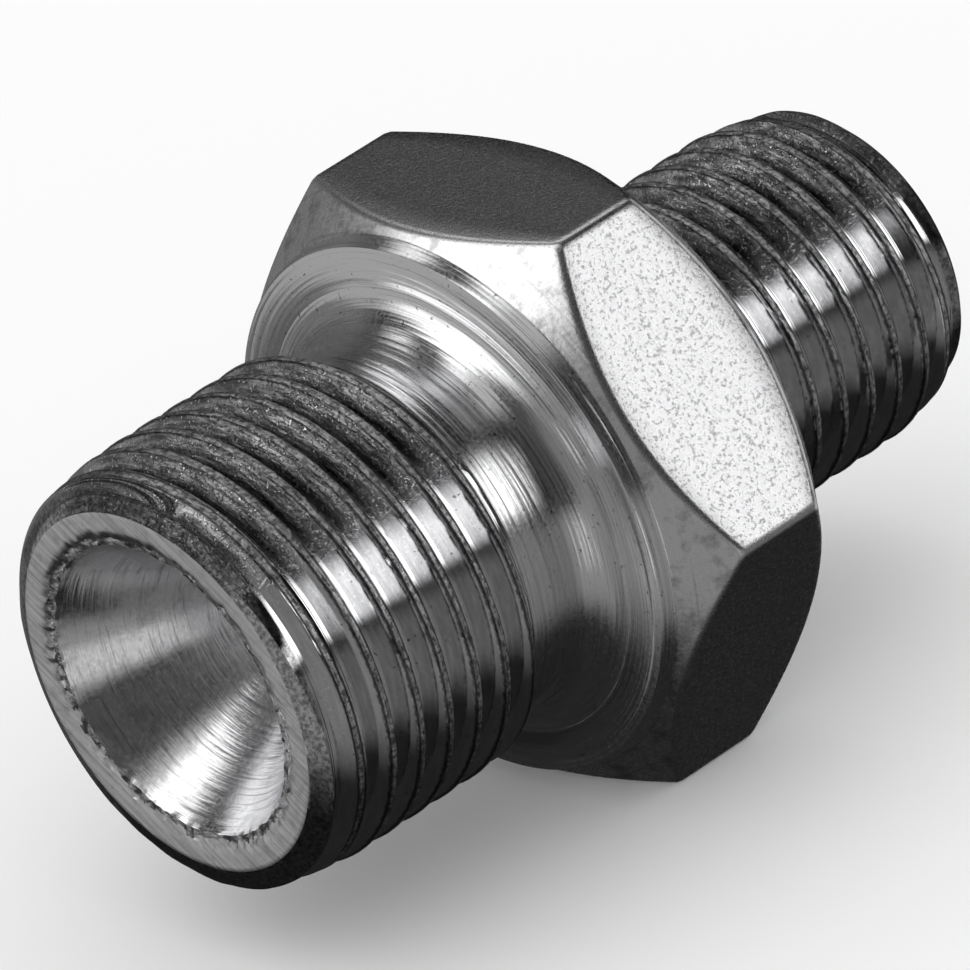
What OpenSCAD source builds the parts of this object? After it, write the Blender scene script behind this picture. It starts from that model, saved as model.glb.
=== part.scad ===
// Straight male adaptor for hydraulic hoses, turned from one piece of hexagon bar.
// It lies on a flat of its hexagon: X runs along the axis, from the large end to the small one,
// and the origin is under the middle of the length, on the surface that it lies on.

/* [Overall] */
// Length from end face to end face
overall_length = 37; // [36.5:0.5:40]
// Diameter of the hole through the middle
bore_d = 5; // [4:0.1:5.4]
// Angle of the sealing cone in each end, side to side
cone_angle = 60; // [50:1:70]

/* [Hexagon] */
// Distance across the flats
across_flats = 23.3; // [22.6:0.1:24]
// From the large end face to the middle of the hexagon
hexagon_middle = 19.5; // [19:0.1:20]
// Length of a flat along its middle line
flat_length = 7; // [6:0.1:7.5]
// Angle between the corner chamfers and the end faces
chamfer_angle = 41; // [30:1:45]
// Length of the back face's chamfer, past the flats
back_chamfer_length = 0.6; // [0.3:0.1:1]

/* [Washer face] */
// From the large end face to the raised washer face
washer_face_position = 15; // [14.6:0.1:15.2]
// Diameter of the raised washer face
washer_d = 22.1; // [21.5:0.1:22.3]
// How much wider the washer face's side is at its foot
washer_taper = 0.2; // [0:0.05:0.3]

/* [Threads] */
// Pitch of both threads
pitch = 1.5; // [1.5, 2]
// Angle between the two sides of a thread, side to side
thread_angle = 60; // [55:1:60]
// Depth of both threads, from crest to root
thread_depth = 0.8; // [0.6:0.02:0.84]
// Width of a crest's flat top
crest_width = 0.32; // [0.2:0.02:0.4]
// From an end face to the first crest, on the side where the thread starts
first_crest = 0.43; // [0:0.01:1.49]
// From an end face to where the crests reach their full height
lead_in_length = 3; // [2:0.1:4]
// Steps in one turn of a thread
turn_steps = 48; // [24:4:60]

/* [Large end] */
// Diameter over the crests of the large thread, M18
large_crest_d = 17.75; // [17.6:0.01:18]
// Length of the large thread
large_thread_length = 11.3; // [10:0.1:12]
// Outer diameter of the large end face
large_face_d = 15; // [14.6:0.1:15.4]
// Diameter and length of the short, steep rim round the large end face
large_rim_d = 16.86; // [16:0.02:17]
large_rim_length = 0.35; // [0.2:0.05:0.9]
// Diameter of the plain neck behind the large thread
large_neck_d = 15.7; // [15.2:0.1:15.8]
// Diameter of the large cone where it reaches the end face's bevel
large_mouth_d = 12.15; // [11:0.05:12.5]
// Radius between the large neck and the washer face
large_fillet_r = 1.6; // [0.8:0.1:2]

/* [Small end] */
// Diameter over the crests of the small thread, M14
small_crest_d = 13.8; // [13.6:0.01:14]
// Length of the small thread
small_thread_length = 11.6; // [10:0.1:12]
// Outer diameter of the small end face
small_face_d = 11.7; // [11.4:0.1:12]
// Diameter and length of the rim round the small end face
small_rim_d = 12.72; // [12.2:0.02:13.2]
small_rim_length = 0.5; // [0.2:0.05:0.9]
// Diameter of the plain neck behind the small thread
small_neck_d = 11.7; // [11.2:0.1:11.8]
// Diameter of the small cone where it reaches the end face's bevel
small_mouth_d = 9.6; // [9:0.05:10]
// Radius between the small neck and the hexagon's back face
small_fillet_r = 0.8; // [0.4:0.1:1.5]

/* [Hidden] */

// Width and depth of the shallow bevel round each cone's mouth
bevel_width = 0.5;
bevel_depth = 0.15;
// The thread ends this much above the root circle, where it meets the neck
root_step = 0.02;
// Overlap where one turned length runs into the next
overlap = 0.5;
// How far a cutting shape stands outside an end face
clearance = 0.3;
// Smoothness of the round surfaces
round_steps = 96;

corner_r = across_flats / sqrt(3);
chamfer_rise = tan(chamfer_angle);
flat_start = hexagon_middle - flat_length / 2;
flat_end = hexagon_middle + flat_length / 2;
back_face = flat_end + back_chamfer_length;
back_face_r = across_flats / 2 - back_chamfer_length / chamfer_rise;
washer_foot_r = washer_d / 2 + washer_taper;
washer_foot = flat_start - (across_flats / 2 - washer_foot_r) * chamfer_rise;
// Axial width of one sloping side of a thread
flank_width = thread_depth * tan(thread_angle / 2);
large_end = [large_thread_length, large_face_d / 2, large_rim_length, large_rim_d / 2, large_crest_d / 2];
small_end = [small_thread_length, small_face_d / 2, small_rim_length, small_rim_d / 2, small_crest_d / 2];

// One radial column of the thread, as [distance from the end face, radius].
// The raw thread is cut down to an end = [length, face radius, rim length, rim radius, crest radius]:
// a steep rim at the end face, a slight taper behind it, and a 45 degree run-out at the neck.
function foot_r(end) = end[4] - thread_depth - root_step;

function limit_r(z, end) = min(
    end[1] + z * (end[3] - end[1]) / end[2],
    end[3] + (z - end[2]) * (end[4] - end[3]) / (lead_in_length - end[2]),
    foot_r(end) + end[0] - z
);

function raw_corners(crest_z, crest_r) = [
    [crest_z - crest_width / 2 - flank_width, crest_r - thread_depth],
    [crest_z - crest_width / 2, crest_r],
    [crest_z + crest_width / 2, crest_r],
    [crest_z + crest_width / 2 + flank_width, crest_r - thread_depth]
];

// Height of a raw corner above the limit
function excess(p, end) = p[1] - limit_r(p[0], end);

// Where the line from a to b crosses the limit, or b where it doesn't
function crossing(a, b, end) =
    let (
        inside_a = [max(0, min(end[0], a[0])), a[1]],
        inside_b = [max(0, min(end[0], b[0])), b[1]],
        slope = b[0] == a[0] ? 0 : (b[1] - a[1]) / (b[0] - a[0]),
        from = [inside_a[0], a[1] + slope * (inside_a[0] - a[0])],
        to = [inside_b[0], a[1] + slope * (inside_b[0] - a[0])],
        high_from = excess(from, end),
        high_to = excess(to, end)
    )
    high_from * high_to < 0 ? from + (to - from) * high_from / (high_from - high_to) : b;

function held_inside(p, end) =
    let (z = max(0, min(end[0], p[0])))
    [z, z == p[0] ? min(p[1], limit_r(z, end)) : limit_r(z, end)];

function thread_column(step, turns, end) =
    let (
        raw = [for (turn = [-2:turns]) each raw_corners(first_crest + pitch * (turn + step / turn_steps), end[4])]
    )
    [
        for (i = [0:len(raw) - 2])
            each [held_inside(raw[i], end), held_inside(crossing(raw[i], raw[i + 1], end), end)]
    ];

// A right-hand thread on a solid rod, from its end face at z = 0 up to its neck.
module threaded_rod(end) {
    turns = ceil(end[0] / pitch) + 1;
    columns = [for (step = [0:turn_steps - 1]) thread_column(step, turns, end)];
    rows = len(columns[0]);
    // Points of one turn of the profile: where the last column meets the first, it is one turn further on
    one_turn = 8;
    points = [
        for (step = [0:turn_steps - 1])
            for (p = columns[step])
                [p[1] * cos(360 * step / turn_steps), p[1] * sin(360 * step / turn_steps), p[0]]
    ];
    next_index = [
        for (step = [0:turn_steps - 1])
            [for (row = [0:rows - 1])
                step < turn_steps - 1 ? (step + 1) * rows + row : min(row + one_turn, rows - 1)]
    ];
    side = [
        for (step = [0:turn_steps - 1])
            for (row = [0:rows - 2])
                let (
                    a = step * rows + row,
                    b = next_index[step][row],
                    c = next_index[step][row + 1],
                    d = step * rows + row + 1
                )
                each [[a, c, b], [a, d, c]]
    ];
    polyhedron(
        points = points,
        faces = concat(
            [for (f = side) if (points[f[0]] != points[f[1]] && points[f[1]] != points[f[2]] && points[f[2]] != points[f[0]]) f],
            [[for (step = [0:turn_steps - 1]) step * rows]],
            [[for (step = [turn_steps - 1:-1:0]) step * rows + rows - 1]]
        ),
        convexity = 10
    );
}

// Hole of one end: a shallow bevel, then the sealing cone down to the bore.
module cone_seat(mouth_r) {
    cone_depth = (mouth_r - bore_d / 2) / tan(cone_angle / 2);
    outside_r = mouth_r + bevel_width * (bevel_depth + clearance) / bevel_depth;
    rotate_extrude($fn = round_steps)
        polygon([
            [0, -clearance],
            [outside_r, -clearance],
            [mouth_r, bevel_depth],
            [bore_d / 2, bevel_depth + cone_depth],
            [0, bevel_depth + cone_depth]
        ]);
}

// Half section of a neck that runs into a face with a round corner.
module neck_section(neck_r, start, face, fillet_r) {
    translate([0, start])
        square([neck_r, face - start + overlap]);
    translate([neck_r, face - fillet_r])
        difference() {
            square(fillet_r);
            translate([fillet_r, 0])
                circle(fillet_r, $fn = round_steps);
        }
}

// Half section of the plain lengths between the threads, with distances from the large end face.
module turned_section() {
    neck_section(large_neck_d / 2, large_thread_length - overlap, washer_face_position, large_fillet_r);
    polygon([
        [0, washer_face_position],
        [washer_d / 2, washer_face_position],
        [washer_foot_r, washer_foot],
        [washer_foot_r, hexagon_middle],
        [0, hexagon_middle]
    ]);
    translate([0, overall_length])
        mirror([0, 1])
            neck_section(small_neck_d / 2, small_thread_length - overlap, overall_length - back_face, small_fillet_r);
}

// Hexagon bar with its corners turned off at both sides.
module hexagon() {
    start = flat_start - (across_flats / 2 - washer_foot_r) * chamfer_rise;
    front_length = (corner_r - washer_foot_r) * chamfer_rise;
    back_length = (corner_r - back_face_r) * chamfer_rise;
    intersection() {
        translate([0, 0, start])
            rotate(30)
                cylinder(r = corner_r, h = back_face - start, $fn = 6);
        rotate_extrude($fn = round_steps)
            polygon([
                [0, start],
                [washer_foot_r, start],
                [corner_r, start + front_length],
                [corner_r + 1, start + front_length + chamfer_rise],
                [corner_r + 1, back_face - back_length - chamfer_rise],
                [corner_r, back_face - back_length],
                [back_face_r, back_face],
                [0, back_face]
            ]);
    }
}

// The whole piece standing on its large end face.
module upright_body() {
    difference() {
        union() {
            threaded_rod(large_end);
            rotate_extrude($fn = round_steps)
                turned_section();
            hexagon();
            translate([0, 0, overall_length])
                rotate([0, 180, 0])
                    threaded_rod(small_end);
        }
        translate([0, 0, -1])
            cylinder(d = bore_d, h = overall_length + 2, $fn = round_steps);
        cone_seat(large_mouth_d / 2);
        translate([0, 0, overall_length])
            rotate([0, 180, 0])
                cone_seat(small_mouth_d / 2);
    }
}

module body() {
    color([0.72, 0.72, 0.73])
        translate([-overall_length / 2, 0, across_flats / 2])
            rotate([0, 90, 0])
                upright_body();
}

body();
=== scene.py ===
"""Hose connector: a straight hydraulic adaptor with two male threads, turned from hexagon bar."""
import math

import bmesh
import bpy
from bpy.props import FloatProperty, FloatVectorProperty, IntProperty, PointerProperty
from mathutils import Euler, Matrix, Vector, noise


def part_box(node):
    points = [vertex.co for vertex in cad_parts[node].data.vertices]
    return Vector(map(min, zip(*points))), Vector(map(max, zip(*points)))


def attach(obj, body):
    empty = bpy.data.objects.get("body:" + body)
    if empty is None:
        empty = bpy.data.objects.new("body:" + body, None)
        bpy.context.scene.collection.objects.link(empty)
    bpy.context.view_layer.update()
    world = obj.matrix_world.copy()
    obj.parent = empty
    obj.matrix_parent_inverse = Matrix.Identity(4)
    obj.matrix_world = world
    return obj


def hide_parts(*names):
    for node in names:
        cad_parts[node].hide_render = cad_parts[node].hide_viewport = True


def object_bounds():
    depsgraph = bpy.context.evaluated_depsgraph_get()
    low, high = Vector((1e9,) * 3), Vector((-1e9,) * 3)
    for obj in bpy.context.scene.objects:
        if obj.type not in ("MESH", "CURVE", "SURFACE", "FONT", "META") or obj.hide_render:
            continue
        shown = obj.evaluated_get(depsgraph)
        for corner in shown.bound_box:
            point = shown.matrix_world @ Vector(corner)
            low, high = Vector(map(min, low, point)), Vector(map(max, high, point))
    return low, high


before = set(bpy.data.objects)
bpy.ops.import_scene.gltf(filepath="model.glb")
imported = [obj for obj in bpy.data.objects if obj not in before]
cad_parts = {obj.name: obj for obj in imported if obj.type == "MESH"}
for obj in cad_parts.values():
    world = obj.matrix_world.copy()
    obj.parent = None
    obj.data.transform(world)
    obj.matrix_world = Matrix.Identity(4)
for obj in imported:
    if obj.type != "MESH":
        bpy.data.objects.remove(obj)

bl_info = {
    "name": "Hose Connector",
    "version": (1, 0, 0),
    "blender": (4, 5, 0),
    "location": "3D View > Sidebar > Hose Connector",
    "description": "Builds a straight hose connector of plated steel and a small photo studio",
    "category": "Add Mesh",
}

CAD_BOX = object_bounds()
MM = 0.001
MERGE_DISTANCE = 0.001 * MM
FLATS = 6

# Steps round the axis, a multiple of 12, so that a step falls on each corner of the hexagon
COLUMNS = 312
# How much closer the steps lie at the hexagon's corners than between them, from 0 to 1
CORNER_CROWDING = 0.5
# Faces that meet at more than this many degrees have a sharp edge between them
SHARP_ANGLE = 32

# Rows on each side of a thread's profile, from the middle of a crest to the middle of a root
CREST_ROWS = 2
FLANK_ROWS = 3
ROOT_ROWS = 1
TURN_ROWS = 2 * (CREST_ROWS + FLANK_ROWS + ROOT_ROWS)
# Turns wound past each end of a thread, which its limits then cut down
SPARE_TURNS = 2
# Share of a flank's width that follows the burrs on its crest
BURR_STRIP = 0.2
# The burrs start behind the rim, after this many rim lengths
RIM_CLEARANCE = 1.1
# Lengths over which the burrs grow from nothing, behind the rim and before the neck
BURR_START = 0.25 * MM
BURR_END = 0.2 * MM
# Size of the burrs at the middle of a crest, as a share of their size at its edges
MIDDLE_BURR = 0.3
# Largest moves of a burr, outwards and along the axis, for a full swing of the noise, in burr sizes
BURR_LIFT = 2.0
BURR_SLIDE = 3.0
# Values of the noise that leave a burr where it is. Most burrs sink, because the noise is about 0.5
LEVEL_LIFT = 0.6
LEVEL_SLIDE = 0.5
# A surface point belongs to a crest where its crest attribute is above this value
CREST_SHARE = 0.9
# Millimetres added to the distance from a crest on the rim, so that the materials can tell it apart
RIM_MARK = 9.0

# How far from its corner each small round starts, and its steps
NECK_ROUND = 0.05 * MM
WASHER_EDGE_ROUND = 0.07 * MM
WASHER_FOOT_ROUND = 0.04 * MM
BORE_ROUND = 0.1 * MM
ROUND_STEPS = 2
# Steps of the round corners between the necks and the faces
LARGE_FILLET_STEPS = 10
SMALL_FILLET_STEPS = 6
# Radial width of the first strip of each cone, which moves with the torn edge
MOUTH_STRIP = 0.2 * MM
# Reach of the tears round a mouth, and the sizes of coarse and fine tears
TEAR_REACH = 0.45 * MM
COARSE_TEAR = 0.5 * MM
FINE_TEAR = 0.2 * MM
# Strength of the fine tears beside the coarse ones
FINE_STRENGTH = 0.5
# The torn edge's width as a share of the bevel's, how far it changes, and over which lengths
TORN_WIDTH = 0.5
COARSE_CHANGE = 0.55
FINE_CHANGE = 0.35
COARSE_CHANGE_LENGTH = 0.7 * MM
FINE_CHANGE_LENGTH = 0.25 * MM

# The turning rings' sides lean outwards. Inside this radius, in millimetres, their slope is FILLET_LEAN.
# Outside it the slope is FACE_LEAN, less FACE_LEAN_FALL for each millimetre of radius
LEAN_RADIUS = 9.4
FILLET_LEAN = 0.3
FACE_LEAN = 4.02
FACE_LEAN_FALL = 0.35
# Directions in degrees from the top towards the front: the middle of the threads' torn side, and how far
# from it the threads are fully torn and no longer torn
TORN_MIDDLE = 8
FULLY_TORN = 26
NOT_TORN = 44
# Radius in millimetres at which a streak has its stated length, and how fast streaks change along the axis
STREAK_RADIUS = 8.5
STREAK_CHANGE = 1.3
# Direction of the file marks on the end faces, in degrees
FILED = 36

ZONES = ("turned", "chamfer", "flat", "end_face", "torn_edge", "cone", "bore", "flank", "crest")

FLOOR_HALF = 3.0
TENT_RADIUS = 1.5
# Brightness of the tent between its panels
TENT_SHADE = 0.02
# What the metal sees round it: azimuth from +X towards +Y, half width, lowest and highest elevation,
# softness of the sides and bottom, softness of the top, all in degrees, and the brightness
TENT_PANELS = (
    (154, 34, 24, 95, 12, 5, 1.8),
    (50, 38, 44, 58, 9, 6, 1.45),
    (0, 190, 80, 95, 5, 5, 1.2),
    (-115, 60, 60, 95, 8, 5, 0.55),
    (-125, 30, 6, 60, 8, 8, 0.07),
    (-55, 13, 10, 38, 4, 9, 2.1),
    (144, 37, -33, 24, 5, 12, 0.42),
    (-165, 32, -40, 30, 12, 10, 0.22),
    (-120, 45, -50, 2, 10, 6, 0.27),
    (-115, 8, -30, -2, 5, 6, 0.8),
    (-55, 30, -45, 4, 10, 8, 0.2),
    (85, 22, -30, 30, 12, 12, 0.18),
    (0, 20, -35, 32, 8, 8, 0.6),
)


def size(name, description, millimetres):
    """A length that a user can change."""
    return FloatProperty(
        name=name, description=description, default=millimetres * MM,
        min=0, precision=5, unit="LENGTH", subtype="DISTANCE",
    )


def angle(name, description, degrees):
    """An angle that a user can change."""
    return FloatProperty(
        name=name, description=description, default=math.radians(degrees), unit="ROTATION", subtype="ANGLE"
    )


class ConnectorSizes(bpy.types.PropertyGroup):
    """Sizes shared by the whole connector. Places are measured from the large end face."""

    bore_d: size("Bore", "Diameter of the hole through the middle", 5)
    cone_angle: angle("Cone angle", "Angle of each sealing cone, side to side", 60)
    bevel_width: size("Bevel width", "Width of the bevel round each cone's mouth", 0.5)
    bevel_depth: size("Bevel depth", "Depth of the bevel round each cone's mouth", 0.15)
    hexagon_middle: size("Hexagon middle", "Place of the middle of the hexagon", 19.5)
    flat_length: size("Flat length", "Length of a flat along its middle line", 7)
    chamfer_angle: angle("Chamfer angle", "Angle between the corner chamfers and the end faces", 41)
    back_chamfer: size("Back chamfer", "Length of the back face's chamfer, past the flats", 0.6)
    edge_softness: size("Edge softness", "How far the hexagon's edges are rubbed back", 0.2)
    corner_radius: size("Corner radius", "Radius of the edges between two flats", 0.45)
    washer_face: size("Washer face", "Place of the raised washer face", 15)
    washer_d: size("Washer face diameter", "Diameter of the raised washer face", 22.1)
    washer_foot_d: size("Washer foot diameter", "Diameter of the washer face's side at its foot", 22.5)
    pitch: size("Pitch", "Pitch of both threads", 1.5)
    thread_depth: size("Thread depth", "Depth of both threads, from crest to root", 0.8)
    crest_width: size("Crest width", "Width of a crest's flat top", 0.32)
    thread_angle: angle("Thread angle", "Angle between the two sides of a thread", 60)
    root_step: size("Root step", "Depth of each thread's last circle below its root", 0.02)
    lead_in: size("Lead-in", "From an end face to where the crests reach their full height", 3)


class LargeEndSizes(bpy.types.PropertyGroup):
    """Sizes of the end with the large thread."""

    crest_d: size("Crest diameter", "Diameter over the crests of the thread, M18", 17.75)
    length: size("Thread length", "Length of the thread", 11.3)
    face_d: size("Face diameter", "Outer diameter of the end face", 15)
    rim_d: size("Rim diameter", "Outer diameter of the short, steep rim round the end face", 16.86)
    rim_length: size("Rim length", "Length of the rim round the end face", 0.35)
    neck_d: size("Neck diameter", "Diameter of the plain neck behind the thread", 15.7)
    mouth_d: size("Cone mouth", "Diameter of the cone where it reaches the bevel", 12.15)
    fillet: size("Fillet", "Radius between the neck and the washer face", 1.6)
    crest_place: size("Crest place", "From the end face to the middle of a crest, at the top", 1.18)


class SmallEndSizes(bpy.types.PropertyGroup):
    """Sizes of the end with the small thread."""

    crest_d: size("Crest diameter", "Diameter over the crests of the thread, M14", 13.8)
    length: size("Thread length", "Length of the thread", 11.6)
    face_d: size("Face diameter", "Outer diameter of the end face", 11.7)
    rim_d: size("Rim diameter", "Outer diameter of the short, steep rim round the end face", 12.72)
    rim_length: size("Rim length", "Length of the rim round the end face", 0.5)
    neck_d: size("Neck diameter", "Diameter of the plain neck behind the thread", 11.7)
    mouth_d: size("Cone mouth", "Diameter of the cone where it reaches the bevel", 9.6)
    fillet: size("Fillet", "Radius between the neck and the hexagon's back face", 0.8)
    crest_place: size("Crest place", "From the end face to the middle of a crest, at the top", 0.43)


class ConnectorFinish(bpy.types.PropertyGroup):
    """Colour and wear of the plated steel."""

    steel: FloatVectorProperty(
        name="Steel", description="Colour of the plated steel", subtype="COLOR",
        size=3, min=0, max=1, default=(0.78, 0.78, 0.79),
    )
    edge_drop: size("Edge drop", "How far the edges of a crest lie below its middle", 0.03)
    burr: size("Burr", "Size of the burrs on the thread's crests", 0.05)
    burr_grain: size("Burr grain", "Length of one burr along a crest", 0.25)
    tear: size("Tear", "How far the cone's mouth is torn", 0.2)
    seed: IntProperty(name="Seed", description="Which tears and marks are drawn", default=4, min=0)


class StudioSettings(bpy.types.PropertyGroup):
    """Where the camera stands and what it looks at."""

    azimuth: angle("Azimuth", "Direction of the camera round the part, from the front", -38.38)
    elevation: angle("Elevation", "Height of the camera above the horizon", 26.92)
    roll: angle("Roll", "Turn of the camera about its own line of sight", -13.02)
    distance: size("Distance", "From the camera to the point that it looks at", 494.8)
    aim_place: size("Aim place", "From the large end face to the point that the camera looks at", 17.43)
    aim_back: size("Aim back", "How far that point lies behind the axis", 0.65)
    aim_drop: size("Aim drop", "How far that point lies below the axis", 0.32)
    sensor_width: FloatProperty(
        name="Sensor width", description="Width of the camera's sensor, in millimetres",
        default=36, min=1, unit="CAMERA",
    )
    focal_length: FloatProperty(
        name="Focal length", description="Focal length of the lens, in millimetres",
        default=485.1, min=1, unit="CAMERA",
    )


def fail_unless(condition, message):
    """Stops the script with a plain message."""
    if not condition:
        raise RuntimeError(message)


def plug(tree, node, key, given):
    """Links a socket to a node's input, or sets the input's value."""
    if isinstance(given, bpy.types.NodeSocket):
        tree.links.new(given, node.inputs[key])
    elif given is not None:
        node.inputs[key].default_value = given


def add_node(tree, kind, inputs=(), **settings):
    """Adds a node with its settings and its inputs, which are given in order or by name."""
    new = tree.nodes.new(kind)
    for name, value in settings.items():
        setattr(new, name, value)
    pairs = inputs.items() if isinstance(inputs, dict) else enumerate(inputs)
    for key, given in pairs:
        plug(tree, new, key, given)
    return new


def calculate(tree, operation, *values):
    """The result of a Math node."""
    return add_node(tree, "ShaderNodeMath", values, operation=operation).outputs[0]


def vector_math(tree, operation, *vectors):
    """The result of a Vector Math node."""
    new = add_node(tree, "ShaderNodeVectorMath", vectors, operation=operation)
    return new.outputs["Value" if operation in ("LENGTH", "DOT_PRODUCT") else "Vector"]


def scaled(tree, vector, factor):
    """A vector or colour times a number."""
    new = add_node(tree, "ShaderNodeVectorMath", {0: vector, "Scale": factor}, operation="SCALE")
    return new.outputs["Vector"]


def map_range(tree, value, low, high, to_low, to_high, smooth=False):
    """A value moved from one range to another and held inside it."""
    return add_node(
        tree, "ShaderNodeMapRange",
        {"Value": value, "From Min": low, "From Max": high, "To Min": to_low, "To Max": to_high},
        interpolation_type="SMOOTHSTEP" if smooth else "LINEAR",
    ).outputs[0]


def column_angle(column):
    """Angle of a column round the axis, from the top towards the front. Columns crowd at the corners."""
    even = 2 * math.pi * column / COLUMNS
    return even + CORNER_CROWDING / FLATS * math.sin(FLATS * even)


def axis_height():
    """Height of the axis above the surface that the connector lies on."""
    return (CAD_BOX[0].z + CAD_BOX[1].z) / 2


def on_part(place, radius, turn):
    """The point at a place along the axis, a radius and an angle from the top towards the front."""
    return Vector((
        CAD_BOX[0].x + place,
        -radius * math.sin(turn),
        axis_height() + radius * math.cos(turn),
    ))


def hexagon_radius(turn, across_flats, corner_radius):
    """Distance from the axis to the hexagon's side, with its corners slightly rounded."""
    half_flat = math.pi / FLATS
    from_flat = (turn + half_flat) % (2 * half_flat) - half_flat
    from_corner = half_flat - abs(from_flat)
    centre = (across_flats / 2 - corner_radius) / math.cos(half_flat)
    touch = math.atan2(corner_radius * math.sin(half_flat), centre + corner_radius * math.cos(half_flat))
    if from_corner < touch:
        beyond = math.sqrt(corner_radius ** 2 - (centre * math.sin(from_corner)) ** 2)
        return centre * math.cos(from_corner) + beyond
    return across_flats / 2 / math.cos(from_flat)


class Outline:
    """Half section of a stretch of the connector: rows of (place, radius), each with the zone after it."""

    def __init__(self):
        self.rows = []

    def line(self, start, end, zone, cuts):
        """A straight stretch from start up to, but without, its end."""
        for i in range(cuts):
            self.rows.append((start.lerp(end, i / cuts), zone))

    def bend(self, before, corner, after, softness, zone):
        """A small round at a corner. Returns its end."""
        start = corner + (before - corner).normalized() * softness
        end = corner + (after - corner).normalized() * softness
        for i in range(ROUND_STEPS):
            t = i / ROUND_STEPS
            self.rows.append((start * (1 - t) ** 2 + corner * (2 * t * (1 - t)) + end * t ** 2, zone))
        return end

    def quarter(self, place, radius, fillet, start, steps, zone):
        """A quarter of a circle about a centre, from an angle in degrees up to, but without, its end."""
        for i in range(steps):
            turn = math.radians(start + 90 * i / steps)
            point = Vector((place + fillet * math.cos(turn), radius + fillet * math.sin(turn)))
            self.rows.append((point, zone))

    def path(self, stations):
        """Stretches through stations of (place, radius, softness, cuts, zone), the last one left out."""
        at = Vector(stations[0][:2])
        for i, (_, _, _, cuts, zone) in enumerate(stations[:-1]):
            corner = Vector(stations[i + 1][:2])
            softness = stations[i + 1][2]
            if softness and i + 2 < len(stations):
                before = corner + (at - corner).normalized() * softness
                self.line(at, before, zone, cuts)
                at = self.bend(at, corner, Vector(stations[i + 2][:2]), softness, stations[i + 1][4])
            else:
                self.line(at, corner, zone, cuts)
                at = corner

    def close(self, place, radius):
        """The last row."""
        self.rows.append((Vector((place, radius)), None))


def thread_foot_r(sizes, end):
    """Radius of the circle in which a thread ends at its neck."""
    return end.crest_d / 2 - sizes.thread_depth - sizes.root_step


def outside_outline(sizes, large, small, overall_length, across_flats, turn):
    """From the end of the large thread over the hexagon to the end of the small thread."""
    slope = math.tan(sizes.chamfer_angle)
    flat_r = across_flats / 2
    corner_r = hexagon_radius(turn, across_flats, sizes.corner_radius)
    corner_rise = (corner_r - flat_r) * slope
    flat_start = sizes.hexagon_middle - sizes.flat_length / 2
    flat_end = sizes.hexagon_middle + sizes.flat_length / 2
    back_face = flat_end + sizes.back_chamfer
    foot_r = sizes.washer_foot_d / 2
    washer_foot = flat_start - (flat_r - foot_r) * slope
    soft = sizes.edge_softness
    large_root = thread_foot_r(sizes, large)
    small_root = thread_foot_r(sizes, small)
    large_neck = large.neck_d / 2
    small_neck = small.neck_d / 2
    small_thread = overall_length - small.length
    outline = Outline()
    outline.path([
        (large.length, large_root, 0, 1, "turned"),
        (large.length + (large_root - large_neck), large_neck, NECK_ROUND, 5, "turned"),
        (sizes.washer_face - large.fillet, large_neck, 0, 1, "turned"),
    ])
    outline.quarter(
        sizes.washer_face - large.fillet, large_neck + large.fillet, large.fillet,
        -90, LARGE_FILLET_STEPS, "turned",
    )
    outline.path([
        (sizes.washer_face, large_neck + large.fillet, 0, 3, "turned"),
        (sizes.washer_face, sizes.washer_d / 2, WASHER_EDGE_ROUND, 2, "turned"),
        (washer_foot, foot_r, WASHER_FOOT_ROUND, 8, "chamfer"),
        (flat_start + corner_rise, corner_r, soft, 6, "flat"),
        (flat_end - corner_rise, corner_r, soft, 2, "chamfer"),
        (back_face, flat_r - sizes.back_chamfer / slope, soft, 6, "turned"),
        (back_face, small_neck + small.fillet, 0, 1, "turned"),
    ])
    outline.quarter(
        back_face + small.fillet, small_neck + small.fillet, small.fillet,
        180, SMALL_FILLET_STEPS, "turned",
    )
    outline.path([
        (back_face + small.fillet, small_neck, 0, 3, "turned"),
        (small_thread - (small_root - small_neck), small_neck, NECK_ROUND, 1, "turned"),
        (small_thread, small_root, 0, 1, "turned"),
    ])
    outline.close(small_thread, small_root)
    return outline.rows


def inside_outline(sizes, large, small, overall_length):
    """From the large end face through the bore to the small end face."""
    bore_r = sizes.bore_d / 2
    depth_for_radius = 1 / math.tan(sizes.cone_angle / 2)
    ends = []
    for end in (large, small):
        mouth_r = end.mouth_d / 2
        strip_end = sizes.bevel_depth + MOUTH_STRIP * depth_for_radius
        cone_end = sizes.bevel_depth + (mouth_r - bore_r) * depth_for_radius
        ends.append([
            (0, end.face_d / 2, 0, 5, "end_face"),
            (0, mouth_r + sizes.bevel_width, 0, 8, "torn_edge"),
            (sizes.bevel_depth, mouth_r, 0, 3, "cone"),
            (strip_end, mouth_r - MOUTH_STRIP, 0, 9, "cone"),
            (cone_end, bore_r, BORE_ROUND, 4, "bore"),
        ])
    near, far = ends
    # In reverse, each stretch takes its cuts and its zone from the station at its other end
    after = [(cuts, zone) for _, _, _, cuts, zone in reversed(far[:-1])] + [(1, "end_face")]
    stations = near + [
        (overall_length - place, radius, soft, cuts, zone)
        for (place, radius, soft, _, _), (cuts, zone) in zip(reversed(far), after)
    ]
    outline = Outline()
    outline.path(stations)
    outline.close(overall_length, small.face_d / 2)
    return outline.rows


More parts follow.
